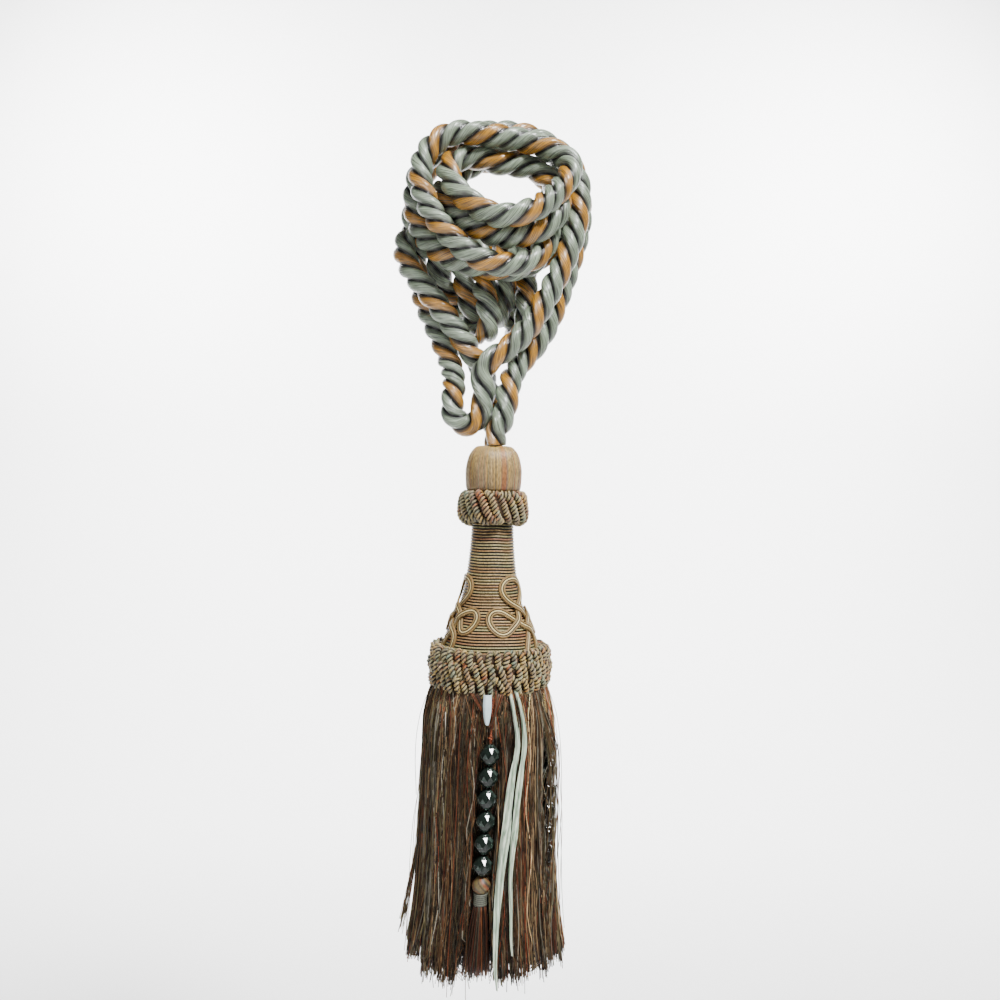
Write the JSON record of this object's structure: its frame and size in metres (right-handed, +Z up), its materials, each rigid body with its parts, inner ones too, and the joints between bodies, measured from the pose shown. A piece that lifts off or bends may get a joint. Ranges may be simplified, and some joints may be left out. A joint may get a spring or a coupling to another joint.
{
  "type": "curtain tieback tassel",
  "caption": "large hanging tassel with a turned head bound in yarn, loop ruffs, scroll cords, a dense thread skirt, bead strings and ribbons, on a twisted rope gathered into a hanging bundle",
  "frame": {"origin": "the underside of the rope bundle's crown, where the hook that holds the tieback touches it", "axes": "+Z up along the tassel's axis, +X to the right seen from the front, and the front with the clearest bead string faces -Y"},
  "size_m": [0.1158, 0.0922, 0.4848],
  "materials": {
    "rope_yarn": "matte",
    "cap_yarn": "satin",
    "bell_yarn": "satin",
    "ruff_cord": "matte",
    "scroll_gimp": "satin",
    "skirt_thread": "satin",
    "bead_glass": "polished",
    "drop_yarn": "satin",
    "ribbon_satin": "satin"
  },
  "bodies": {
    "root": {"rope": "rope_yarn", "cap": "cap_yarn", "bell": "bell_yarn", "ruff_upper": "ruff_cord", "ruff_lower_top": "ruff_cord", "ruff_lower_bottom": "ruff_cord", "scroll_0": "scroll_gimp", "scroll_1": "scroll_gimp", "scroll_2": "scroll_gimp", "skirt": "skirt_thread", "beads_0": "bead_glass", "beads_1": "bead_glass", "beads_2": "bead_glass", "beads_3": "bead_glass", "drop_0": "drop_yarn", "drop_1": "drop_yarn", "drop_2": "drop_yarn", "drop_3": "drop_yarn", "ribbon_left": "ribbon_satin", "ribbon_right": "ribbon_satin", "ribbon_stub": "ribbon_satin"}
  },
  "joints": []
}
